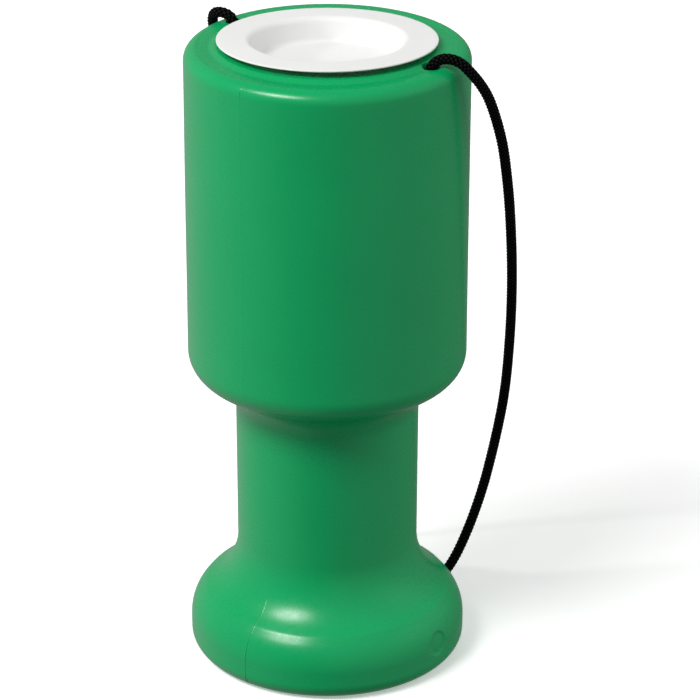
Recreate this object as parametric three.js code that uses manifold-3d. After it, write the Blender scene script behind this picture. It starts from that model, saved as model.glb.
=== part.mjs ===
// A hand-held collecting container: a blow-moulded shell with a wide chamber, a hollow
// grip and a foot, a push-in closure with a coin slot, and a braided carrying cord that
// passes through two holes in the shoulder and is held by a stopper knot below each.
// Units are millimetres, +Z is up, and the origin is the centre of the foot's underside.
import * as THREE from 'three';
import { mergeVertices } from 'three/addons/utils/BufferGeometryUtils.js';
import Module from 'manifold-3d';

// ---------------------------------------------------------------- driving dimensions
const WALL = 2.0; // thickness of the moulded shell
const GAP = 0.3; // clearance between neighbouring pieces

const CHAMBER_RADIUS = 52.2;
const SHOULDER_Z = 241.4; // level of the flat shoulder
const SHOULDER_FILLET = 4.75;
const CHAMBER_FLOOR_Z = 115.4; // outer corner where the chamber turns under
const CHAMBER_FILLET = 11.0;

const GRIP_RADIUS_TOP = 34.5;
const GRIP_RADIUS_LOW = 34.1;
const GRIP_TOP_Z = 109.1;
const GRIP_LOW_Z = 33.6;
const GRIP_TOP_FILLET = 14.8;
const GRIP_LOW_FILLET = 19.8;

const FOOT_RADIUS = 52.4;
const FOOT_EDGE_Z = 17.8; // corner where the foot's side turns over
const FOOT_EDGE_FILLET = 11.0;
const FLANK_RADIUS = 44.9; // a corner half way up the foot's sloping flank
const FLANK_Z = 26.8;
const FLANK_FILLET = 9.4;
const FOOT_BOTTOM_FILLET = 6.4;
const STANDING_RADIUS = 40.0; // inner edge of the flat ring that the foot stands on
const RECESS_RADIUS = 35.0; // the underside inside this radius is lifted
const RECESS_DEPTH = 3.0;

const STEP_RADIUS = 41.7; // low wide step around the mouth
const MOUTH_RADIUS = 33.6;
const STEP_BLANK = 8.0; // height of the step before it is trimmed
const STEP_HEIGHT = 0.8; // height of the trimmed step at its centre
const STEP_LEAN = THREE.MathUtils.degToRad(0.9); // the trim is slightly out of square
const LEAN_DIRECTION = THREE.MathUtils.degToRad(32.8); // direction of the hinge line

const CORD_HOLE_RADIUS = 3.2;
const CORD_HOLE_REACH = 43.7; // distance of each cord hole from the axis
const LEFT_HOLE_TURN = THREE.MathUtils.degToRad(174); // the right hole lies on the X axis
const MOULD_TURN = THREE.MathUtils.degToRad(-3.5); // mould halves, turned from the X axis
const DIMPLE_RADIUS = 5.0; // shallow round dent on both sides of the foot
const DIMPLE_Z = 13.4;
const DIMPLE_DEPTH = 0.7;
const DIMPLE_DRILL = 10.0; // length of the cutter, which starts at the dimple's floor

const SEAT_HEIGHT = 2.1; // the flange's underside above the shoulder, at its centre
const CLOSURE_LEAN = THREE.MathUtils.degToRad(2.35); // the closure sits askew in the mouth
const FLANGE_RADIUS = 40.2;
const FLANGE_THICKNESS = 0.7;
const FLANGE_ROUNDING = 0.3;
const DISH_RADIUS = 28.5; // mouth of the sunken dish
const DISH_FLOOR_RADIUS = 26.2;
const DISH_DEPTH = 9.0; // from the top of the flange to the dish's floor
const DISH_RIM_FILLET = 2.6;
const DISH_FLOOR_FILLET = 2.0;
const CLOSURE_WALL = 1.4;
const PLUG_RADIUS = 32.6; // ring that fills the mouth
const PLUG_DEPTH = 7.0;
const PLUG_BEAD = 0.35; // height of the snap bead near the plug's lower end
const BEAD_PEAK = 1.6; // heights of its crest and its upper end above the lower end
const BEAD_TOP = 2.6;
const PLUG_TAPER = 0.4; // the lower end is this much smaller in radius
const UNDER_DISH_FILLET = 1.5;
const SLOT_LENGTH = 40.0;
const SLOT_WIDTH = 6.6;
const SLOT_OFFSET = 5.0; // the slot lies off the dish's centre
const SLOT_DIRECTION = THREE.MathUtils.degToRad(32.8);

const CORD_RADIUS = 1.95;
const CORD_SIDES = 8;
const CORD_STEPS = 80;
const KNOT_RADIUS = 4.8;
const KNOT_HEIGHT = 8.4;
const KNOT_FILLET = 3.2;
const KNOT_AROUND = 12;
const AROUND = 48; // facets around the shell and the closure
const HOLE_AROUND = 16;
const DIMPLE_AROUND = 20;
const MERGE_TOLERANCE = 1e-4;

// The cord's centreline: out of the right hole, over the shoulder, down beside the
// chamber, along the table behind the foot, up behind the chamber and into the left hole.
const CORD_ROUTE = [
  [42.9, -0.2, 237.8], [43.4, -0.1, 240.1], [44.6, 0.5, 242.8], [47.2, 1.9, 244.5],
  [50.4, 3.4, 244.5], [53.1, 4.8, 243.2], [55.3, 6.6, 240.5], [57.9, 10.5, 234.7],
  [58.9, 15.5, 227.4], [58.9, 24.9, 209.2], [57.6, 32.0, 191.2], [55.5, 38.7, 172.8],
  [51.2, 48.5, 144.3], [46.2, 56.6, 115.5], [40.4, 62.9, 86.4], [32.8, 65.2, 53.4],
  [29.8, 63.8, 40.0], [26.6, 61.0, 27.1], [23.0, 57.8, 15.7], [19.3, 56.2, 8.6],
  [14.9, 56.1, 4.1], [8.4, 57.3, 2.4], [-2.7, 59.5, 2.2], [-18.5, 60.4, 2.2],
  [-32.8, 59.2, 2.3], [-44.5, 56.0, 4.8], [-56.5, 50.3, 22.0], [-63.3, 46.0, 50.0],
  [-66.9, 37.4, 105.0], [-65.8, 28.4, 152.0], [-62.6, 19.2, 195.0], [-57.9, 11.6, 226.0],
  [-55.6, 8.2, 236.2], [-54.4, 6.2, 240.2], [-52.5, 4.6, 242.9], [-50.0, 3.6, 244.2],
  [-47.2, 3.6, 244.2], [-45.0, 4.2, 243.0], [-43.8, 4.5, 240.4], [-43.2, 4.6, 237.9],
];

// ---------------------------------------------------------------- materials
function plastic(hex, roughness) {
  return new THREE.MeshStandardMaterial({ color: hex, roughness, metalness: 0 });
}

const greenPlastic = plastic(0x24895a, 0.38);
const whitePlastic = plastic(0xe9ecea, 0.42);
const blackBraid = plastic(0x191818, 0.85);

// ---------------------------------------------------------------- outlines
// A corner is { at: Vector2(radius, height), fillet, steps }.
function corner(radius, height, fillet = 0, steps = 4) {
  return { at: new THREE.Vector2(radius, height), fillet, steps };
}

function turnAt(before, here, after) {
  const arriving = here.at.clone().sub(before.at).normalize();
  const leaving = after.at.clone().sub(here.at).normalize();
  return { arriving, leaving, angle: Math.atan2(arriving.cross(leaving), arriving.dot(leaving)) };
}

// The points of an outline, with each filleted corner as an arc.
function rounded(corners) {
  return corners.flatMap((here, i) => {
    if (here.fillet === 0 || i === 0 || i === corners.length - 1) return [here.at.clone()];
    const { arriving, angle } = turnAt(corners[i - 1], here, corners[i + 1]);
    const reach = here.fillet * Math.tan(Math.abs(angle) / 2);
    const start = here.at.clone().addScaledVector(arriving, -reach);
    const side = new THREE.Vector2(-arriving.y, arriving.x).multiplyScalar(Math.sign(angle));
    const centre = start.clone().addScaledVector(side, here.fillet);
    return Array.from({ length: here.steps + 1 }, (_, k) =>
      start.clone().rotateAround(centre, (angle * k) / here.steps));
  });
}

// The same outline moved to its left by a distance, with its fillets changed to suit.
function inset(corners, distance) {
  return corners.map((here, i) => {
    const before = corners[i - 1] ?? { at: here.at.clone().multiplyScalar(2).sub(corners[1].at) };
    const after = corners[i + 1]
      ?? { at: here.at.clone().multiplyScalar(2).sub(corners[i - 1].at) };
    const { arriving, leaving, angle } = turnAt(before, here, after);
    const miter = new THREE.Vector2(-arriving.y - leaving.y, arriving.x + leaving.x)
      .multiplyScalar(distance / (1 + arriving.dot(leaving)));
    const fillet = here.fillet === 0 ? 0 : here.fillet - Math.sign(angle) * distance;
    return { at: here.at.clone().add(miter), fillet, steps: Math.max(1, here.steps - 2) };
  });
}

// Turns an outline about the Z axis. It starts and ends on the axis.
function revolve(points, around = AROUND) {
  return new THREE.LatheGeometry(points, around).rotateX(Math.PI / 2);
}

// ---------------------------------------------------------------- booleans
const wasm = await Module();
wasm.setup();

function toSolid(geometry) {
  const plain = geometry.clone();
  plain.deleteAttribute('normal');
  plain.deleteAttribute('uv');
  const merged = mergeVertices(plain, MERGE_TOLERANCE);
  const index = merged.index.array;
  const triangles = [];
  for (let i = 0; i < index.length; i += 3) {
    const [a, b, c] = [index[i], index[i + 1], index[i + 2]];
    if (a !== b && b !== c && c !== a) triangles.push(a, b, c);
  }
  return new wasm.Manifold(new wasm.Mesh({
    numProp: 3,
    vertProperties: new Float32Array(merged.attributes.position.array),
    triVerts: new Uint32Array(triangles),
  }));
}

function toGeometry(solid) {
  const mesh = solid.getMesh();
  const geometry = new THREE.BufferGeometry();
  const positions = new Float32Array(mesh.vertProperties);
  geometry.setAttribute('position', new THREE.BufferAttribute(positions, 3));
  geometry.setIndex(new THREE.BufferAttribute(new Uint32Array(mesh.triVerts), 1));
  geometry.computeVertexNormals();
  return geometry;
}

function cut(geometry, tools) {
  return toGeometry(tools.reduce((solid, tool) => solid.subtract(toSolid(tool)), toSolid(geometry)));
}

// ---------------------------------------------------------------- shell
function shellOutline() {
  const outside = [
    corner(0, RECESS_DEPTH),
    corner(RECESS_RADIUS, RECESS_DEPTH),
    corner(STANDING_RADIUS, 0),
    corner(FOOT_RADIUS, 0, FOOT_BOTTOM_FILLET),
    corner(FOOT_RADIUS, FOOT_EDGE_Z, FOOT_EDGE_FILLET),
    corner(FLANK_RADIUS, FLANK_Z, FLANK_FILLET, 1),
    corner(GRIP_RADIUS_LOW, GRIP_LOW_Z, GRIP_LOW_FILLET, 5),
    corner(GRIP_RADIUS_TOP, GRIP_TOP_Z, GRIP_TOP_FILLET, 5),
    corner(CHAMBER_RADIUS, CHAMBER_FLOOR_Z, CHAMBER_FILLET, 5),
    corner(CHAMBER_RADIUS, SHOULDER_Z, SHOULDER_FILLET),
    corner(MOUTH_RADIUS, SHOULDER_Z),
  ];
  const inside = inset(outside, WALL);
  const step = [
    new THREE.Vector2(STEP_RADIUS, SHOULDER_Z),
    new THREE.Vector2(STEP_RADIUS, SHOULDER_Z + STEP_BLANK),
    new THREE.Vector2(MOUTH_RADIUS, SHOULDER_Z + STEP_BLANK),
  ];
  return [...rounded(outside).slice(0, -1), ...step, ...rounded(inside).reverse()];
}

// Everything above the slanting top of the step.
function stepTrim() {
  const block = new THREE.BoxGeometry(4 * STEP_RADIUS, 4 * STEP_RADIUS, 4 * STEP_BLANK);
  return leaning(block.translate(0, 0, 2 * STEP_BLANK), STEP_LEAN)
    .translate(0, 0, SHOULDER_Z + STEP_HEIGHT);
}

// Leans a geometry about the hinge line, so that its front is raised.
function leaning(geometry, lean) {
  const hinge = new THREE.Vector3(Math.cos(LEAN_DIRECTION), Math.sin(LEAN_DIRECTION), 0);
  return geometry.applyMatrix4(new THREE.Matrix4().makeRotationAxis(hinge, -lean));
}

function cordHole(turn) {
  const drill = new THREE.CylinderGeometry(
    CORD_HOLE_RADIUS, CORD_HOLE_RADIUS, 6 * WALL, HOLE_AROUND);
  return drill.rotateX(Math.PI / 2).translate(CORD_HOLE_REACH, 0, SHOULDER_Z).rotateZ(turn);
}

function footDimple(side) {
  const depthAtFace = FOOT_RADIUS - DIMPLE_DEPTH;
  const drill = new THREE.CylinderGeometry(
    DIMPLE_RADIUS, DIMPLE_RADIUS, DIMPLE_DRILL, DIMPLE_AROUND);
  drill.rotateZ(Math.PI / 2).translate(side * (depthAtFace + DIMPLE_DRILL / 2), 0, DIMPLE_Z);
  return drill.rotateZ(MOULD_TURN);
}

function shell() {
  const tools = [stepTrim(), cordHole(0), cordHole(LEFT_HOLE_TURN), footDimple(1), footDimple(-1)];
  return new THREE.Mesh(cut(revolve(shellOutline()), tools), greenPlastic);
}

// ---------------------------------------------------------------- closure
// Its own level 0 is the underside of the flange, before it leans.
function closureOutline() {
  const floor = FLANGE_THICKNESS - DISH_DEPTH;
  const under = [
    corner(0, floor - CLOSURE_WALL),
    corner(DISH_FLOOR_RADIUS + CLOSURE_WALL, floor - CLOSURE_WALL, UNDER_DISH_FILLET, 2),
    corner(DISH_RADIUS + CLOSURE_WALL, 0),
    corner(PLUG_RADIUS - CLOSURE_WALL, 0),
    corner(PLUG_RADIUS - CLOSURE_WALL, -PLUG_DEPTH),
    corner(PLUG_RADIUS - PLUG_TAPER, -PLUG_DEPTH),
    corner(PLUG_RADIUS + PLUG_BEAD, -PLUG_DEPTH + BEAD_PEAK),
    corner(PLUG_RADIUS, -PLUG_DEPTH + BEAD_TOP),
    corner(PLUG_RADIUS, 0),
    corner(FLANGE_RADIUS, 0, FLANGE_ROUNDING, 2),
    corner(FLANGE_RADIUS, FLANGE_THICKNESS, FLANGE_ROUNDING, 2),
    corner(DISH_RADIUS, FLANGE_THICKNESS, DISH_RIM_FILLET, 4),
    corner(DISH_FLOOR_RADIUS, floor, DISH_FLOOR_FILLET, 3),
    corner(0, floor),
  ];
  return rounded(under);
}

function coinSlot() {
  const slab = new THREE.BoxGeometry(SLOT_LENGTH, SLOT_WIDTH, 4 * DISH_DEPTH);
  return slab.translate(0, -SLOT_OFFSET, 0).rotateZ(SLOT_DIRECTION);
}

function closure() {
  const geometry = leaning(cut(revolve(closureOutline()), [coinSlot()]), CLOSURE_LEAN);
  const mesh = new THREE.Mesh(geometry, whitePlastic);
  mesh.position.z = SHOULDER_Z + SEAT_HEIGHT;
  return mesh;
}

// ---------------------------------------------------------------- cord and knots
// Steps follow the route's points, so they lie closer together where it bends sharply.
class RoutedCurve extends THREE.CatmullRomCurve3 {
  getUtoTmapping(u) {
    return u;
  }
}

function cord() {
  const route = new RoutedCurve(CORD_ROUTE.map((point) => new THREE.Vector3(...point)));
  const section = new THREE.Shape();
  for (let side = 0; side < CORD_SIDES; side += 1) {
    const angle = (2 * Math.PI * side) / CORD_SIDES;
    const [across, up] = [CORD_RADIUS * Math.cos(angle), CORD_RADIUS * Math.sin(angle)];
    section[side === 0 ? 'moveTo' : 'lineTo'](across, up);
  }
  const tube = new THREE.ExtrudeGeometry(section, { steps: CORD_STEPS, extrudePath: route });
  return new THREE.Mesh(tube, blackBraid);
}

function knot(end) {
  const half = KNOT_HEIGHT / 2;
  const outline = rounded([
    corner(0, -half),
    corner(KNOT_RADIUS, -half, KNOT_FILLET, 3),
    corner(KNOT_RADIUS, half, KNOT_FILLET, 3),
    corner(0, half),
  ]);
  const mesh = new THREE.Mesh(revolve(outline, KNOT_AROUND), blackBraid);
  mesh.position.set(end[0], end[1], end[2] - 2 * GAP - half);
  return mesh;
}

// ---------------------------------------------------------------- assembly
function named(name, mesh) {
  mesh.name = name;
  return mesh;
}

const group = new THREE.Group();
group.add(
  named('body', shell()),
  named('closure', closure()),
  named('cord', cord()),
  named('knot_right', knot(CORD_ROUTE[0])),
  named('knot_left', knot(CORD_ROUTE[CORD_ROUTE.length - 1])),
);

export default group;
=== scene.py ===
import math

import bmesh
import bpy
import numpy as np
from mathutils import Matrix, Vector


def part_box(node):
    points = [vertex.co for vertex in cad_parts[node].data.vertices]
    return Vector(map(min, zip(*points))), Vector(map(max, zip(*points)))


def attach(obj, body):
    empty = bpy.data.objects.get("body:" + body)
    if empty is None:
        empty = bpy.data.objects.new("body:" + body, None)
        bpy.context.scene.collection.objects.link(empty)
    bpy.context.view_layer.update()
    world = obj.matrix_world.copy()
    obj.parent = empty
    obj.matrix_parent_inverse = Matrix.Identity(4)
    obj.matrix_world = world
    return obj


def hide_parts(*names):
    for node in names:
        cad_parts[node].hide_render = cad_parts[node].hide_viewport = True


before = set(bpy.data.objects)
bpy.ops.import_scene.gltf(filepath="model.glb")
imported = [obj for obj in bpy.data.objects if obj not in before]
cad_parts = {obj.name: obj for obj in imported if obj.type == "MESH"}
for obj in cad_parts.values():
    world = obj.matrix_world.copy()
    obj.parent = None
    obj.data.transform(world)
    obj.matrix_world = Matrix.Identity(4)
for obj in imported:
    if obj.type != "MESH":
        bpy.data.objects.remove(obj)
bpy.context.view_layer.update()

# A hand-held collecting container: a blow-moulded shell with a chamber, a hollow grip and a
# foot, a push-in closure with a coin slot, and a braided carrying cord held by two knots.
# Lengths are in metres, written as millimetres times MM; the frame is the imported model's.
MM = 0.001

# ------------------------------------------------------------------ driving dimensions
WALL = 2.0 * MM
FOOT_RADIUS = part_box("body")[1].x
FOOT_BOTTOM_FILLET = 6.4 * MM
STANDING_RADIUS = 40.0 * MM  # inner edge of the flat ring that the foot stands on
RECESS_RADIUS = 35.0 * MM  # the underside inside this radius is lifted
RECESS_DEPTH = 3.0 * MM
ROLL_Z = 17.8 * MM  # corner where the foot's side rolls over into its flank
ROLL_FILLET = 17.0 * MM
FLANK_RADIUS = 46.8 * MM  # corner on the flank, just inside the roll
FLANK_Z = 24.5 * MM
FLANK_FILLET = 6.0 * MM
GRIP_RADIUS_LOW = 34.1 * MM
GRIP_LOW_Z = 33.7 * MM
GRIP_LOW_FILLET = 24.5 * MM
GRIP_RADIUS_TOP = 34.5 * MM
GRIP_TOP_Z = 109.1 * MM
GRIP_TOP_FILLET = 14.8 * MM
CHAMBER_RADIUS = 52.2 * MM
CHAMBER_FLOOR_Z = 115.4 * MM  # outer corner where the chamber turns under
CHAMBER_FILLET = 11.0 * MM
SHOULDER_Z = 241.4 * MM
SHOULDER_FILLET = 4.75 * MM
FLAT_REACH = 47.45 * MM  # radius where the flat shoulder meets its fillet

MOUTH_RADIUS = 33.6 * MM
MOUTH_ROUNDING = 0.5 * MM
STEP_RADIUS = 41.7 * MM  # low wide step around the mouth
STEP_HEIGHT = 0.8 * MM
STEP_EDGE = 1.5 * MM  # half the width of the soft slope at its edge
STEP_LEAN = math.radians(0.9)  # its top is slightly out of square
LEAN = math.radians(2.35)  # the closure sits askew in the mouth
LEAN_AZIMUTH = math.radians(32.8)  # direction of the hinge line of both leans
TOWARDS_HIGH = np.array([math.sin(LEAN_AZIMUTH), -math.cos(LEAN_AZIMUTH), 0.0])

HOLE_RADIUS = 3.2 * MM
HOLE_REACH = 43.7 * MM  # distance of each cord hole from the axis
LEFT_HOLE_AZIMUTH = math.radians(174)
HOLE_ROUNDING = 0.35 * MM
HOLE_BLOCK = 3.72 * MM  # half the side of the square patch that a hole is set in
HOLE_HALF_ANGLE = math.asin(HOLE_BLOCK / HOLE_REACH)  # the same, seen from the axis
HOLE_COLUMNS = 10  # columns in that angle
# rows of the patch, from its outer side (1) to its inner side (-1), closest across the
# slope at the step's edge
BLOCK_PARTS = (1, 0.6, 0.2, -0.05, -0.2, -0.35, -0.5, -0.65, -0.8, -0.9, -1)

PARTING_AZIMUTH = math.radians(86.5)  # the mould's parting plane
PARTING_HEIGHT = 0.22 * MM
PARTING_WIDTH = 0.2 * MM
PARTING_FADE = 0.85  # share of its height that it loses on the chamber
# soft unevenness of the moulding: height in millimetres, count around the shell, change of
# phase per millimetre upwards, and phase
WAVES = ((0.05, 2, 0.021, 0.4), (0.035, 3, -0.034, 2.1),
         (0.02, 5, 0.055, 4.0), (0.012, 8, -0.09, 1.2))
DIMPLE_AZIMUTH = math.radians(-3.5)
DIMPLE_RADIUS = 5.0 * MM
DIMPLE_Z = 13.4 * MM
DIMPLE_DEPTH = 0.6 * MM
DIMPLE_EDGE = 0.9 * MM
DIMPLE_ROWS = 0.45 * MM  # spacing of the rows on that part of the foot

SEAT_Z = 243.5 * MM  # underside of the closure's flange on the axis
FLANGE_RADIUS = 40.2 * MM
FLANGE_THICKNESS = 0.7 * MM
FLANGE_WARP = 0.04 * MM
DISH_RADIUS = 27.8 * MM
DISH_FLOOR_RADIUS = 25.8 * MM
DISH_DEPTH = 9.0 * MM
PLUG_RADIUS = 32.6 * MM
PLUG_BEAD = 0.35 * MM
PLUG_DEPTH = 7.0 * MM
CLOSURE_WALL = 1.4 * MM
CLOSURE_COLUMNS = 224
SLOT_HUB = 24.0 * MM  # the floor inside this radius is meshed around the slot
SLOT_ROUNDING = 0.4 * MM
SLOT_LENGTH = 40.0 * MM
SLOT_WIDTH = 6.6 * MM
SLOT_OFFSET = 5.0 * MM
SLOT_CORNER = 1.2 * MM

CORD_DIAMETER = 3.9 * MM
CARRIERS = 6  # strands that wind each way
STRAND_RISE = 1.6 * MM  # how far along the cord one strand lies from the next
STRAND_RIBS = 6  # fine ribs across one strand, in the material
STRAND_ROUNDNESS = 1.9  # 2 would make each strand a full half round
BRAID_HEIGHT = 0.55 * MM
BRAID_WEAVE = 0.25 * MM
BRAID_PROUD = 0.1 * MM  # the highest crowns stand this far past the nominal radius
KNOT_CORD = 3.3 * MM  # the cord is pulled thinner in its knots
KNOT_SWEEP = math.radians(152)
KNOT_RING = 3.1 * MM
KNOT_LOBE = 2.1 * MM
KNOT_RISE = 2.2 * MM
KNOT_TAIL = 4.0 * MM

CAMERA_REACH = 1.17913  # horizontal distance from the object's axis
CAMERA_HEIGHT = 0.64428
CAMERA_AZIMUTH = math.radians(32.8)
CAMERA_PITCH = math.radians(23.917)
CAMERA_SENSOR = 36  # millimetres, as is the focal length
CAMERA_LENS = 177.05
CAMERA_SHIFT = 0.03244
ROOM_AZIMUTH = math.radians(-115)  # the lightest side of the room, counted as for lights
ROOM_DIP = math.radians(25)  # how far below level that side's lightest direction lies
ROOM_LEVELS = ((0.0, 0.45), (0.17, 0.36), (0.31, 0.24), (0.45, 0.15), (0.6, 0.19),
               (0.75, 0.33), (1.0, 0.52))  # from the opposite side of the room to that one
FLOOR_RADIUS = 8.0
FLOOR_GLOW = 0.30

# ------------------------------------------------------------------ the cord's route
CORD_ROUTE_MM = [
    (42.9, -0.2, 237.8), (43.4, -0.1, 240.1), (44.6, 0.5, 242.8), (47.2, 1.9, 244.5),
    (50.4, 3.4, 244.5), (53.1, 4.8, 243.2), (55.3, 6.6, 240.5), (57.9, 10.5, 234.7),
    (58.9, 15.5, 227.4), (58.9, 24.9, 209.2), (57.6, 32.0, 191.2), (55.5, 38.7, 172.8),
    (51.2, 48.5, 144.3), (46.2, 56.6, 115.5), (40.4, 62.9, 86.4), (32.8, 65.2, 53.4),
    (29.8, 63.8, 40.0), (26.6, 61.0, 27.1), (23.0, 57.8, 15.7), (19.3, 56.2, 8.6),
    (14.9, 56.1, 4.1), (8.4, 57.3, 2.4), (-2.7, 59.5, 2.2), (-18.5, 60.4, 2.2),
    (-32.8, 59.2, 2.3), (-44.5, 56.0, 4.8), (-56.5, 50.3, 22.0), (-63.3, 46.0, 50.0),
    (-66.9, 37.4, 105.0), (-65.8, 28.4, 152.0), (-62.6, 19.2, 195.0), (-57.9, 11.6, 226.0),
    (-55.6, 8.2, 236.2), (-54.4, 6.2, 240.2), (-52.5, 4.6, 242.9), (-50.0, 3.6, 244.2),
    (-47.2, 3.6, 244.2), (-45.0, 4.2, 243.0), (-43.8, 4.5, 240.4), (-43.2, 4.6, 237.9),
]


# ------------------------------------------------------------------ small helpers
def spaced(line, step):
    """The same line with points about step apart."""
    along = np.concatenate([[0], np.cumsum(np.linalg.norm(np.diff(line, axis=0), axis=1))])
    at = np.linspace(0, along[-1], max(2, math.ceil(along[-1] / step) + 1))
    return np.stack([np.interp(at, along, line[:, k]) for k in range(line.shape[1])], axis=1)


def smooth_step(t):
    """0 up to t = 0, 1 from t = 1, and a soft slope in between."""
    t = np.clip(t, 0, 1)
    return t * t * (3 - 2 * t)


def routed(points, per_span=24):
    """A centripetal Catmull-Rom curve through the points."""
    points = np.array(points, float)
    ends = 2 * points[0] - points[1], 2 * points[-1] - points[-2]
    p = np.vstack([ends[0], points, ends[1]])
    knots = np.sqrt(np.linalg.norm(np.diff(p, axis=0), axis=1))
    line = []
    t = np.linspace(0, 1, per_span, endpoint=False)[:, None]
    for i in range(1, len(p) - 2):
        before, here, after = knots[i - 1], knots[i], knots[i + 1]
        slope_in = ((p[i] - p[i - 1]) / before - (p[i + 1] - p[i - 1]) / (before + here)
                    + (p[i + 1] - p[i]) / here) * here
        slope_out = ((p[i + 1] - p[i]) / here - (p[i + 2] - p[i]) / (here + after)
                     + (p[i + 2] - p[i + 1]) / after) * here
        line.append((2 * t**3 - 3 * t**2 + 1) * p[i] + (t**3 - 2 * t**2 + t) * slope_in
                    + (3 * t**2 - 2 * t**3) * p[i + 1] + (t**3 - t**2) * slope_out)
    return np.vstack(line + [points[-1:]])


class Sheets:
    """Gathers vertices and quads of one closed mesh."""

    def __init__(self):
        self.points = []
        self.faces = []
        self.count = 0

    def add(self, points):
        """Adds an array of points and returns their numbers in the array's own shape."""
        points = np.asarray(points, float)
        flat = points.reshape(-1, 3)
        numbers = np.arange(self.count, self.count + len(flat)).reshape(points.shape[:-1])
        self.points.append(flat)
        self.count += len(flat)
        return numbers

    def quads(self, numbers, keep=None):
        """Joins neighbouring rows of a grid, closed in its second direction."""
        nxt = np.roll(numbers, -1, axis=1)
        cells = np.stack([numbers[:-1], nxt[:-1], nxt[1:], numbers[1:]], axis=-1)
        cells = cells[keep] if keep is not None else cells.reshape(-1, 4)
        self.faces.extend(cells.tolist())

    def fan(self, centre, ring):
        hub = int(self.add([centre])[0])
        self.faces.extend([[hub, int(a), int(b)] for a, b in zip(ring, np.roll(ring, -1))])

    def build(self, name, sharpest=math.radians(40)):
        """The finished object: faces turned outwards, shaded smooth up to an angle."""
        mesh = bpy.data.meshes.new(name)
        mesh.from_pydata(np.vstack(self.points).tolist(), [], self.faces)
        edit = bmesh.new()
        edit.from_mesh(mesh)
        bmesh.ops.recalc_face_normals(edit, faces=edit.faces)
        edit.to_mesh(mesh)
        edit.free()
        mesh.shade_smooth()
        mesh.set_sharp_from_angle(angle=sharpest)
        piece = bpy.data.objects.new(name, mesh)
        bpy.context.scene.collection.objects.link(piece)
        return piece


def rounded(corners, arc_step=0.6 * MM):
    """An outline of (radius, height, fillet) corners, with each fillet as an arc."""
    at = np.array([c[:2] for c in corners], float)
    outline = [at[0]]
    for i in range(1, len(corners) - 1):
        fillet = corners[i][2]
        if fillet == 0:
            outline.append(at[i])
            continue
        arriving = (at[i] - at[i - 1]) / np.linalg.norm(at[i] - at[i - 1])
        leaving = (at[i + 1] - at[i]) / np.linalg.norm(at[i + 1] - at[i])
        cross = arriving[0] * leaving[1] - arriving[1] * leaving[0]
        turn = math.atan2(cross, arriving @ leaving)
        start = at[i] - arriving * fillet * math.tan(abs(turn) / 2)
        side = np.array([-arriving[1], arriving[0]]) * math.copysign(1, turn)
        centre = start + side * fillet
        steps = max(4, math.ceil(abs(turn) * fillet / arc_step))
        for k in range(steps + 1):
            angle = turn * k / steps
            c, s = math.cos(angle), math.sin(angle)
            spoke = start - centre
            outline.append(centre + [c * spoke[0] - s * spoke[1], s * spoke[0] + c * spoke[1]])
    outline.append(at[-1])
    return np.array(outline)


def filled(outline, longest):
    """The outline with extra points on its long straight runs."""
    points = [outline[0]]
    for here in outline[1:]:
        gap = here - points[-1]
        parts = max(1, math.ceil(np.linalg.norm(gap) / longest))
        start = points[-1]
        points += [start + gap * k / parts for k in range(1, parts + 1)]
    return np.array(points)


def turned(outline, angles):
    """Every outline point at every angle: an array of rows, columns and x, y, z."""
    radius, height = outline[:, :1], outline[:, 1:]
    return np.stack([radius * np.cos(angles), radius * np.sin(angles),
                     height + np.zeros_like(angles)], axis=-1)


# ------------------------------------------------------------------ materials
def material(name):
    """A new material, its node tree and its shader."""
    made = bpy.data.materials.new(name)
    made.use_nodes = True
    tree = made.node_tree
    return made, tree, tree.nodes["Principled BSDF"]


def node(tree, kind, inputs=(), **settings):
    """A new node with these values on its input sockets and these settings."""
    made = tree.nodes.new(kind)
    for key, value in settings.items():
        setattr(made, key, value)
    for key, value in dict(inputs).items():
        made.inputs[key].default_value = value
    return made


def noise(tree, where, scale, detail=3.0, roughness=0.5):
    made = node(tree, "ShaderNodeTexNoise",
                {"Scale": scale, "Detail": detail, "Roughness": roughness})
    tree.links.new(where, made.inputs["Vector"])
    return made.outputs["Fac"]


def ranged(tree, value, low, high, from_low=0.3, from_high=0.7):
    made = node(tree, "ShaderNodeMapRange", {"From Min": from_low, "From Max": from_high,
                                             "To Min": low, "To Max": high})
    tree.links.new(value, made.inputs["Value"])
    return made.outputs["Result"]


def blended(tree, fac, colour_a, colour_b):
    made = node(tree, "ShaderNodeMix", data_type="RGBA")
    made.inputs["A"].default_value = (*colour_a, 1)
    made.inputs["B"].default_value = (*colour_b, 1)
    tree.links.new(fac, made.inputs["Factor"])
    return made.outputs["Result"]


def bumped(tree, shader, heights):
    """Chains bumps of (height, distance) into the shader's normal."""
    normal = None
    for height, distance in heights:
        made = node(tree, "ShaderNodeBump", {"Distance": distance, "Strength": 1.0})
        tree.links.new(height, made.inputs["Height"])
        if normal is not None:
            tree.links.new(normal, made.inputs["Normal"])
        normal = made.outputs["Normal"]
    tree.links.new(normal, shader.inputs["Normal"])


def moulded_plastic(name, deep, light, shine, gloss, grain):
    """Satin polyethylene: faint mottling, uneven gloss, and a fine mould grain."""
    made, tree, shader = material(name)
    where = node(tree, "ShaderNodeTexCoord").outputs["Object"]
    mottle = noise(tree, where, 28.0, 4.0)
    fine = noise(tree, where, 420.0, 2.0)
    colour = blended(tree, ranged(tree, mottle, 0.0, 1.0), deep, light)
    tree.links.new(colour, shader.inputs["Base Color"])
    tree.links.new(ranged(tree, fine, gloss[0], gloss[1]), shader.inputs["Roughness"])
    shader.inputs["IOR"].default_value = 1.5
    shader.inputs["Specular IOR Level"].default_value = shine
    bumped(tree, shader, [(mottle, grain[0]), (fine, grain[1]),
                          (noise(tree, where, 2600.0, 2.0), grain[2])])
    return made


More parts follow.
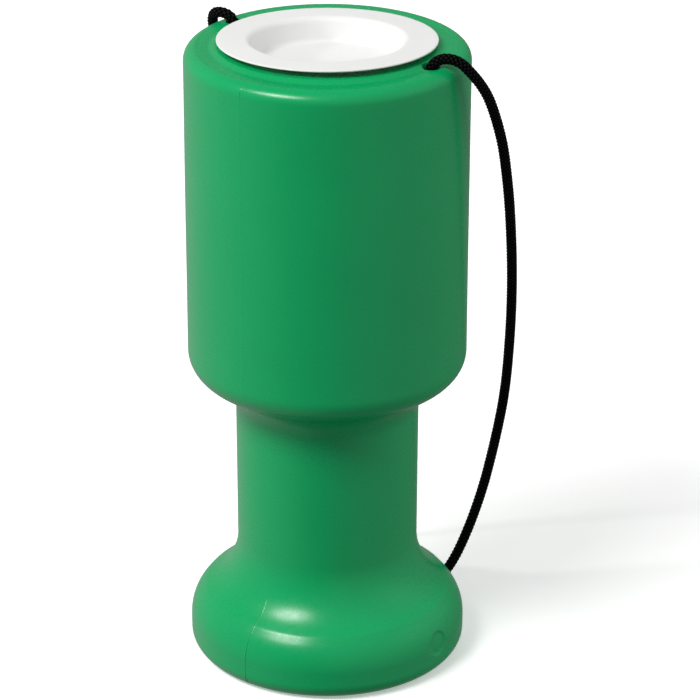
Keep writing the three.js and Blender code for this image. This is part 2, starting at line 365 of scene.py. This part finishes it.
def braid_material():
    """Dull black cord. The mesh says where a point lies across its strand, and how high."""
    made, tree, shader = material("black_braid")
    where = node(tree, "ShaderNodeTexCoord").outputs["Object"]
    strand = node(tree, "ShaderNodeAttribute", attribute_name="strand").outputs["Fac"]
    fibres = node(tree, "ShaderNodeMath", {1: STRAND_RIBS * 2 * math.pi}, operation="MULTIPLY")
    tree.links.new(strand, fibres.inputs[0])
    ripple = node(tree, "ShaderNodeMath", operation="SINE")
    tree.links.new(fibres.outputs[0], ripple.inputs[0])
    fuzz = noise(tree, where, 1500.0, 3.0)
    # painted glints and painted shade: the strands' crowns are painted lighter, speckled by
    # noise, and the grooves between them near black
    crown = node(tree, "ShaderNodeAttribute", attribute_name="crown").outputs["Fac"]
    painted_glint = node(tree, "ShaderNodeMath", operation="MULTIPLY")
    tree.links.new(ranged(tree, crown, 0.0, 1.0, 0.72, 1.0), painted_glint.inputs[0])
    tree.links.new(ranged(tree, fuzz, 0.3, 1.0), painted_glint.inputs[1])
    colour = blended(tree, painted_glint.outputs[0], (0.0002, 0.0002, 0.0002), (0.032, 0.031, 0.031))
    tree.links.new(colour, shader.inputs["Base Color"])
    tree.links.new(ranged(tree, crown, 0.6, 0.32, 0.5, 1.0), shader.inputs["Roughness"])
    shader.inputs["Specular IOR Level"].default_value = 0.04
    bumped(tree, shader, [(ripple.outputs[0], 0.03 * MM), (fuzz, 0.05 * MM)])
    return made


GREEN = moulded_plastic("green_polyethylene", (0.0006, 0.350, 0.106), (0.0014, 0.368, 0.113),
                        0.45, (0.25, 0.31), (0.03 * MM, 0.004 * MM, 0.0015 * MM))
WHITE = moulded_plastic("white_polyethylene", (0.80, 0.805, 0.79), (0.83, 0.832, 0.82),
                        0.35, (0.36, 0.42), (0.03 * MM, 0.004 * MM, 0.0015 * MM))
BLACK = braid_material()


# ------------------------------------------------------------------ camera
def camera():
    made = bpy.data.objects.new("camera", bpy.data.cameras.new("camera"))
    bpy.context.scene.collection.objects.link(made)
    made.location = (CAMERA_REACH * math.sin(CAMERA_AZIMUTH),
                     -CAMERA_REACH * math.cos(CAMERA_AZIMUTH), CAMERA_HEIGHT)
    made.rotation_euler = (math.pi / 2 - CAMERA_PITCH, 0, CAMERA_AZIMUTH)
    made.data.sensor_width = CAMERA_SENSOR
    made.data.lens = CAMERA_LENS
    made.data.shift_x = CAMERA_SHIFT
    bpy.context.scene.camera = made


# ------------------------------------------------------------------ cord and knots
def braid_relief(angle, along):
    """Height of a plain braid over its core, and the place across the strand on top."""
    one_way = CARRIERS * angle / (2 * math.pi) + along / STRAND_RISE
    other_way = CARRIERS * angle / (2 * math.pi) - along / STRAND_RISE
    height = []
    for a, b, sign in ((one_way, other_way, 1), (other_way, one_way, -1)):
        across = a - np.round(a)
        crown = BRAID_HEIGHT * np.sqrt(1 - (STRAND_ROUNDNESS * across) ** 2)
        height.append(crown + sign * BRAID_WEAVE * np.cos(math.pi * (b + np.round(a))))
    top = np.where(height[0] >= height[1], one_way - np.round(one_way),
                   other_way - np.round(other_way))
    return np.maximum(height[0], height[1]), top


def carried_frames(line):
    """Two directions across the line at each point, carried along it without twist."""
    tangent = np.gradient(line, axis=0)
    tangent /= np.linalg.norm(tangent, axis=1)[:, None]
    side = np.zeros_like(line)
    start = np.cross(tangent[0], (0, 1, 0))
    side[0] = start / np.linalg.norm(start)
    for i in range(1, len(line)):
        moved = side[i - 1] - tangent[i] * (side[i - 1] @ tangent[i])
        side[i] = moved / np.linalg.norm(moved)
    return side, np.cross(tangent, side)


def braided(name, line, diameter, ring_step, sides):
    """A closed braided tube along a line."""
    line = spaced(line, ring_step)
    side, up = carried_frames(line)
    along = np.concatenate([[0], np.cumsum(np.linalg.norm(np.diff(line, axis=0), axis=1))])
    angle = np.arange(sides) * 2 * math.pi / sides
    relief, across = braid_relief(angle[None, :], along[:, None])
    reach = diameter / 2 + BRAID_PROUD - (BRAID_HEIGHT + BRAID_WEAVE) + relief
    rings = (line[:, None, :] + side[:, None, :] * (reach * np.cos(angle))[..., None]
             + up[:, None, :] * (reach * np.sin(angle))[..., None])
    sheets = Sheets()
    numbers = sheets.add(rings)
    sheets.quads(numbers)
    sheets.fan(line[0], numbers[0])
    sheets.fan(line[-1], numbers[-1])
    piece = sheets.build(name, math.radians(75))
    crown = (relief - relief.min()) / (relief.max() - relief.min())
    for label, values in (("strand", across), ("crown", crown)):
        layer = piece.data.attributes.new(label, "FLOAT", "POINT")
        values = np.concatenate([values.reshape(-1), [0.0, 0.0]])
        layer.data.foreach_set("value", values.astype(np.float32))
    piece.data.materials.append(BLACK)
    return piece, line


def overhand_knot(name, node_name):
    """A stopper knot: a tight overhand knot of the same cord, in its CAD solid's place."""
    low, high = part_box(node_name)
    centre = (low + high) / 2
    t = np.linspace(-KNOT_SWEEP, KNOT_SWEEP, 240)
    ring = KNOT_RING + KNOT_LOBE * np.cos(1.5 * t)
    loop = np.stack([ring * np.cos(t), ring * np.sin(t), KNOT_RISE * np.sin(1.5 * t)], axis=1)
    tail = loop[-1] + np.outer(np.linspace(0.1, 1, 8), (0, 0, -KNOT_TAIL))
    lead = np.outer(np.linspace(1, 0.1, 8), (0, 0, KNOT_TAIL)) + loop[0]
    line = np.vstack([lead, loop, tail]) + np.array(centre)
    piece, _ = braided(name, routed(spaced(line, 1.5 * MM), 6), KNOT_CORD, 0.35 * MM, 32)
    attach(piece, "container")
    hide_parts(node_name)
    return piece


def carrying_cord():
    route = np.array(CORD_ROUTE_MM) * MM
    piece, line = braided("carrying_cord", routed(route), CORD_DIAMETER, 0.32 * MM, 40)
    knots = [overhand_knot("stopper_knot_right", "knot_right"),
             overhand_knot("stopper_knot_left", "knot_left")]
    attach(piece, "container")
    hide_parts("cord")


# ------------------------------------------------------------------ shell
def shell_outside():
    """From the middle of the underside up to the flat shoulder, as (radius, height)."""
    return rounded([
        (0.0, RECESS_DEPTH, 0),
        (RECESS_RADIUS, RECESS_DEPTH, 3.0 * MM),
        (STANDING_RADIUS, 0.0, 2.0 * MM),
        (FOOT_RADIUS, 0.0, FOOT_BOTTOM_FILLET),
        (FOOT_RADIUS, ROLL_Z, ROLL_FILLET),
        (FLANK_RADIUS, FLANK_Z, FLANK_FILLET),
        (GRIP_RADIUS_LOW, GRIP_LOW_Z, GRIP_LOW_FILLET),
        (GRIP_RADIUS_TOP, GRIP_TOP_Z, GRIP_TOP_FILLET),
        (CHAMBER_RADIUS, CHAMBER_FLOOR_Z, CHAMBER_FILLET),
        (CHAMBER_RADIUS, SHOULDER_Z, SHOULDER_FILLET),
        (FLAT_REACH, SHOULDER_Z, 0),
    ])


def inward(outline, distance):
    """The outline moved along its own normals."""
    tangent = np.gradient(outline, axis=0)
    tangent /= np.linalg.norm(tangent, axis=1)[:, None]
    normal = np.stack([-tangent[:, 1], tangent[:, 0]], axis=1)
    moved = outline + normal * distance
    moved[0] = (0.0, outline[0, 1] + distance)
    return moved


def around_shell():
    """Column angles: close together at the holes and the parting lines."""
    step = HOLE_HALF_ANGLE / HOLE_COLUMNS
    hole = step * np.arange(-HOLE_COLUMNS - 7, HOLE_COLUMNS + 2)
    beside = np.radians([0.1, 0.2, 0.32, 0.5, 0.8, 1.2])
    seam = np.concatenate([-beside[::-1], [0.0], beside])
    zones = [hole, LEFT_HOLE_AZIMUTH - hole[::-1],
             seam + PARTING_AZIMUTH, seam + PARTING_AZIMUTH - math.pi]
    plain = np.radians(np.arange(-30, 330, 2.0))
    turn = 2 * math.pi
    for zone in zones:
        offset = (plain - zone.mean() + math.pi) % turn - math.pi
        plain = plain[np.abs(offset) > (zone[-1] - zone[0]) / 2 + math.radians(0.8)]
    every = np.concatenate([plain, *zones])
    low = math.radians(-30)
    return np.sort((every - low) % turn + low)


def shell_relief(angles, outline):
    """How far the outer skin stands out of the plain turned shape."""
    length = np.concatenate([[0], np.cumsum(np.linalg.norm(np.diff(outline, axis=0), axis=1))])
    radius, height = outline[:, :1], outline[:, 1:]
    side = np.abs((angles - PARTING_AZIMUTH + math.pi / 2) % math.pi - math.pi / 2)
    ridge = PARTING_HEIGHT * np.exp(-((side * radius / PARTING_WIDTH) ** 2))
    # no ridge inside the ring that the foot stands on, and a faint one on the chamber
    ridge = ridge * smooth_step((radius - 41 * MM) / (3 * MM) + (height > 20 * MM))
    on_chamber = smooth_step((height - 90 * MM) / (20 * MM)) * smooth_step(
        (SHOULDER_Z - 3 * MM - height) / (3 * MM))
    ridge = ridge * (1 - PARTING_FADE * on_chamber) * smooth_step(height / (4 * MM))
    waves = sum(size * MM * np.sin(n * angles + height / MM * k + phase)
                for size, n, k, phase in WAVES)
    relief = ridge + waves * smooth_step(height / (20 * MM))
    at = np.interp(DIMPLE_Z, outline[:, 1], length)
    for azimuth in (DIMPLE_AZIMUTH, DIMPLE_AZIMUTH + math.pi):
        turn = (angles - azimuth + math.pi) % (2 * math.pi) - math.pi
        away = np.hypot(turn * FOOT_RADIUS, length[:, None] - at)
        relief = relief - DIMPLE_DEPTH * smooth_step((DIMPLE_RADIUS - away) / DIMPLE_EDGE)
    return relief


def relieved(outline, angles):
    """The turned outline with its relief, which fades out towards the flat shoulder."""
    tangent = np.gradient(outline, axis=0)
    tangent /= np.linalg.norm(tangent, axis=1)[:, None]
    to_flat = np.hypot(outline[:, 0] - FLAT_REACH, outline[:, 1] - SHOULDER_Z)
    relief = shell_relief(angles, outline) * smooth_step(to_flat / (5 * MM))[:, None]
    radius = outline[:, :1] + tangent[:, 1:] * relief
    height = outline[:, 1:] - tangent[:, :1] * relief
    return np.stack([radius * np.cos(angles), radius * np.sin(angles), height], axis=-1)


def stepped(points):
    """The same points of the shoulder, raised where the step is."""
    radius = np.hypot(points[..., 0], points[..., 1])
    height = STEP_HEIGHT + points @ TOWARDS_HIGH * math.tan(STEP_LEAN)
    above = np.clip((points[..., 2] - SHOULDER_Z + WALL) / WALL, 0, 1)
    edge = smooth_step((STEP_RADIUS + STEP_EDGE - radius) / (2 * STEP_EDGE))
    moved = points.copy()
    moved[..., 2] += height * edge * above
    return moved


def mouth(angles):
    """The rounded rim of the mouth, from the top of the step to the underside."""
    outline = rounded([
        (MOUTH_RADIUS + 4.0 * MM, SHOULDER_Z, 0),
        (MOUTH_RADIUS, SHOULDER_Z, MOUTH_ROUNDING),
        (MOUTH_RADIUS, SHOULDER_Z - WALL, MOUTH_ROUNDING),
        (MOUTH_RADIUS + 1.2 * MM, SHOULDER_Z - WALL, 0),
    ], 0.15 * MM)
    return stepped(turned(outline, angles))


def hole_strip(sheets, outer, inner, columns, centre):
    """Replaces a square patch of the flat shoulder by a round hole with rounded edges."""
    def loop(numbers):
        first, last = columns
        return np.concatenate([numbers[0, first:last], numbers[:-1, last],
                               numbers[-1, last:first:-1], numbers[:0:-1, first]])

    edge = [loop(outer), loop(inner)]
    spread = np.vstack(sheets.points)
    strip = [edge[0]]
    spokes = spread[edge[0]] - centre
    spokes[:, 2] = 0
    reach = np.linalg.norm(spokes, axis=1)[:, None]
    spokes = spokes / reach
    lip = HOLE_RADIUS + HOLE_ROUNDING
    up = np.array([0, 0, 1.0])
    for part in (0.3, 0.6, 0.85, 1.0):
        strip.append(sheets.add(stepped(centre + spokes * (reach + (lip - reach) * part))))
    turns = np.linspace(0, math.pi / 2, 6)[1:]
    for turn in turns:
        down = HOLE_ROUNDING * (1 - math.cos(turn))
        ring = centre + spokes * (lip - HOLE_ROUNDING * math.sin(turn)) - up * down
        strip.append(sheets.add(stepped(ring)))
    for turn in turns[::-1]:
        down = WALL - HOLE_ROUNDING * (1 - math.cos(turn))
        ring = centre + spokes * (lip - HOLE_ROUNDING * math.sin(turn)) - up * down
        strip.append(sheets.add(ring))
    for part in (1.0, 0.7, 0.4):
        strip.append(sheets.add(centre + spokes * (reach + (lip - reach) * part) - up * WALL))
    strip.append(edge[1])
    sheets.quads(np.array(strip))


def shell():
    angles = around_shell()
    outside = filled(shell_outside(), 2.2 * MM)
    dimple = (outside[:, 0] > 49 * MM) & (outside[:, 1] > 6 * MM) & (outside[:, 1] < 20 * MM)
    start, end = np.argmax(dimple), len(outside) - np.argmax(dimple[::-1])
    fine = filled(outside[start:end], DIMPLE_ROWS)
    outside = np.vstack([outside[:start], fine, outside[end:]])
    inside = inward(filled(shell_outside(), 3.0 * MM), WALL)
    inside = inside[inside[:, 0] < FLAT_REACH + 3 * MM]

    block = HOLE_REACH + HOLE_BLOCK * np.array(BLOCK_PARTS)
    flat = np.stack([block, np.full(len(block), SHOULDER_Z)], axis=1)
    ceiling = flat[::-1] - [0, WALL]

    sheets = Sheets()
    outer_skin = sheets.add(relieved(outside[1:], angles))
    outer_flat = sheets.add(stepped(turned(flat, angles)))
    rim = sheets.add(mouth(angles))
    inner_flat = sheets.add(turned(ceiling, angles))
    inner_skin = sheets.add(turned(inside[:0:-1], angles))
    sheets.quads(np.vstack([outer_skin, outer_flat[:1]]))
    sheets.quads(np.vstack([outer_flat[-1:], rim, inner_flat[:1]]))
    sheets.quads(np.vstack([inner_flat[-1:], inner_skin]))

    keep = np.ones((len(block) - 1, len(angles)), bool)
    for azimuth in (0.0, LEFT_HOLE_AZIMUTH):
        first = int(np.argmin(np.abs(angles - azimuth + HOLE_HALF_ANGLE)))
        last = int(np.argmin(np.abs(angles - azimuth - HOLE_HALF_ANGLE)))
        keep[:, first:last] = False
        centre = np.array([math.cos(azimuth) * HOLE_REACH, math.sin(azimuth) * HOLE_REACH,
                           SHOULDER_Z])
        hole_strip(sheets, outer_flat, inner_flat[::-1], (first, last), centre)
    sheets.quads(outer_flat, keep)
    sheets.quads(inner_flat, keep)
    sheets.fan((0, 0, outside[0, 1]), outer_skin[0])
    sheets.fan((0, 0, inside[0, 1]), inner_skin[-1])
    piece = sheets.build("shell", math.radians(50))
    piece.data.materials.append(GREEN)
    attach(piece, "container")
    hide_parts("body")


# ------------------------------------------------------------------ closure
def closure_outline(floor_reach):
    """From the top of the dish's floor out over the flange and back below the floor."""
    floor = FLANGE_THICKNESS - DISH_DEPTH
    return rounded([
        (floor_reach, floor, 0),
        (DISH_FLOOR_RADIUS, floor, 2.0 * MM),
        (DISH_RADIUS, FLANGE_THICKNESS, 2.6 * MM),
        (FLANGE_RADIUS, FLANGE_THICKNESS, 0.3 * MM),
        (FLANGE_RADIUS, 0.0, 0.3 * MM),
        (PLUG_RADIUS, 0.0, 0.5 * MM),
        (PLUG_RADIUS, -PLUG_DEPTH + 2.6 * MM, 1.0 * MM),
        (PLUG_RADIUS + PLUG_BEAD, -PLUG_DEPTH + 1.6 * MM, 0.6 * MM),
        (PLUG_RADIUS - 0.4 * MM, -PLUG_DEPTH, 0.3 * MM),
        (PLUG_RADIUS - CLOSURE_WALL, -PLUG_DEPTH, 0.3 * MM),
        (PLUG_RADIUS - CLOSURE_WALL, 0.0, 0.4 * MM),
        (DISH_RADIUS + CLOSURE_WALL, 0.0, 0.3 * MM),
        (DISH_FLOOR_RADIUS + CLOSURE_WALL, floor - CLOSURE_WALL, 1.5 * MM),
        (floor_reach, floor - CLOSURE_WALL, 0),
    ], 0.3 * MM)


def slot_loop(count, grow):
    """Points of the slot's rounded edge, level, starting at its far end."""
    corner = SLOT_CORNER + grow
    half = np.array([SLOT_LENGTH / 2 + grow, SLOT_WIDTH / 2 + grow])
    turns = np.radians(np.arange(0, 91, 6.0))
    quarter = np.stack([np.cos(turns), np.sin(turns)], axis=1) * corner + half - corner
    upper = np.vstack([[[half[0], 0.0]], quarter])
    loop = np.vstack([upper, upper[::-1] * [-1, 1], upper * -1, upper[::-1] * [1, -1]])
    along = np.concatenate([[0], np.cumsum(np.linalg.norm(np.diff(loop, axis=0), axis=1))])
    at = np.linspace(0, along[-1], count, endpoint=False)
    level = np.stack([np.interp(at, along, loop[:, k]) for k in (0, 1)], axis=1)
    level[:, 1] -= SLOT_OFFSET
    c, s = math.cos(LEAN_AZIMUTH), math.sin(LEAN_AZIMUTH)
    return np.stack([c * level[:, 0] - s * level[:, 1], s * level[:, 0] + c * level[:, 1],
                     np.zeros(count)], axis=1)


def leaned(points):
    """Leans points given from the flange's underside and sets them on the mouth."""
    hinge = np.array([math.cos(LEAN_AZIMUTH), math.sin(LEAN_AZIMUTH), 0.0])
    c, s = math.cos(-LEAN), math.sin(-LEAN)
    turned_points = (points * c + np.cross(hinge, points) * s
                     + (points @ hinge)[..., None] * hinge * (1 - c))
    return turned_points + np.array([0, 0, SEAT_Z])


def closure():
    count = CLOSURE_COLUMNS
    angles = LEAN_AZIMUTH + np.arange(count) * 2 * math.pi / count
    outline = filled(closure_outline(SLOT_HUB), 1.2 * MM)
    skin = turned(outline, angles)
    warp = FLANGE_WARP * np.cos(2 * angles - 0.7) * smooth_step(
        (outline[:, :1] - DISH_RADIUS) / (4 * MM))
    skin[..., 2] += warp
    edge = SLOT_ROUNDING
    top, bottom = skin[0], skin[-1]
    rows = []
    for part in (0.25, 0.5, 0.75):
        rows.append(top + (slot_loop(count, edge) + [0, 0, top[0, 2]] - top) * part)
    for turn in np.linspace(0, math.pi / 2, 5):
        loop = slot_loop(count, edge * (1 - math.sin(turn)))
        rows.append(loop + [0, 0, top[0, 2] - edge * (1 - math.cos(turn))])
    for turn in np.linspace(math.pi / 2, 0, 5):
        loop = slot_loop(count, edge * (1 - math.sin(turn)))
        rows.append(loop + [0, 0, bottom[0, 2] + edge * (1 - math.cos(turn))])
    for part in (0.75, 0.5, 0.25):
        rows.append(bottom + (slot_loop(count, edge) + [0, 0, bottom[0, 2]] - bottom) * part)
    sheets = Sheets()
    ring = sheets.add(leaned(skin))
    slot = sheets.add(leaned(np.array(rows)))
    sheets.quads(np.vstack([slot[::-1], ring, slot[-1:]]))
    piece = sheets.build("push_in_closure", math.radians(50))
    piece.data.materials.append(WHITE)
    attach(piece, "lid")
    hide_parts("closure")


# ------------------------------------------------------------------ floor and light
def floor():
    """A pale floor for the camera alone; the object neither mirrors it nor is lit by it."""
    made, tree, shader = material("pale_floor")
    shader.inputs["Base Color"].default_value = (0.96, 0.96, 0.955, 1)
    shader.inputs["Roughness"].default_value = 0.7
    shader.inputs["Emission Color"].default_value = (1, 1, 1, 1)
    shader.inputs["Emission Strength"].default_value = FLOOR_GLOW
    bpy.ops.mesh.primitive_circle_add(vertices=96, radius=FLOOR_RADIUS, fill_type="NGON",
                                      location=(0, 0, -0.05 * MM))
    disc = bpy.context.object
    disc.name = "studio_floor"
    disc.data.materials.append(made)
    disc.visible_glossy = False
    disc.visible_diffuse = False


def soft_light(name, azimuth, elevation, distance, size, power, mirrored=True, behind=0.0):
    """A softbox that faces the object, or the floor a stretch behind it. Azimuth 0 is behind
    the camera and 90 to its right. One that isn't mirrored lights without a highlight."""
    aim = Vector((-math.sin(CAMERA_AZIMUTH) * behind, math.cos(CAMERA_AZIMUTH) * behind,
                  0.0 if behind else 0.12))
    turn = CAMERA_AZIMUTH + math.radians(azimuth)
    rise = math.radians(elevation)
    away = Vector((math.sin(turn) * math.cos(rise), -math.cos(turn) * math.cos(rise),
                   math.sin(rise)))
    data = bpy.data.lights.new(name, "AREA")
    data.shape = "ELLIPSE"
    data.size, data.size_y = size
    data.energy = power
    made = bpy.data.objects.new(name, data)
    made.location = aim + away * distance
    made.rotation_euler = away.to_track_quat("Z", "Y").to_euler()
    made.visible_glossy = mirrored
    bpy.context.scene.collection.objects.link(made)


def studio():
    """The room, graded from its lightest side to the opposite one, and the lights."""
    world = bpy.data.worlds.new("studio")
    world.use_nodes = True
    tree = world.node_tree
    where = node(tree, "ShaderNodeTexCoord").outputs["Generated"]
    turn = CAMERA_AZIMUTH + ROOM_AZIMUTH
    level = math.cos(ROOM_DIP)
    lightest = (math.sin(turn) * level, -math.cos(turn) * level, -math.sin(ROOM_DIP))
    across = node(tree, "ShaderNodeVectorMath", {1: lightest}, operation="DOT_PRODUCT")
    tree.links.new(where, across.inputs[0])
    ramp = node(tree, "ShaderNodeValToRGB")
    stops = ramp.color_ramp.elements
    for stop, (position, grey) in zip(stops, (ROOM_LEVELS[0], ROOM_LEVELS[-1])):
        stop.position, stop.color = position, (grey, grey, grey, 1)
    for position, grey in ROOM_LEVELS[1:-1]:
        stops.new(position).color = (grey, grey, grey, 1)
    place = ranged(tree, across.outputs["Value"], 0.0, 1.0, -1.0, 1.0)
    tree.links.new(place, ramp.inputs["Fac"])
    tree.links.new(ramp.outputs["Color"], tree.nodes["Background"].inputs["Color"])
    bpy.context.scene.world = world
    bpy.context.scene.view_settings.view_transform = "Standard"
    soft_light("key", -49, 50, 2.6, (1.4, 0.75), 52)
    soft_light("left_fill", -80, 22, 2.2, (0.16, 0.16), 12, mirrored=False)
    soft_light("right_fill", 95, 22, 2.2, (2.6, 1.6), 15, mirrored=False)
    soft_light("backdrop", 180, 60, 1.3, (1.6, 1.0), 6, mirrored=False, behind=0.8)


camera()
carrying_cord()
shell()
closure()
floor()
studio()
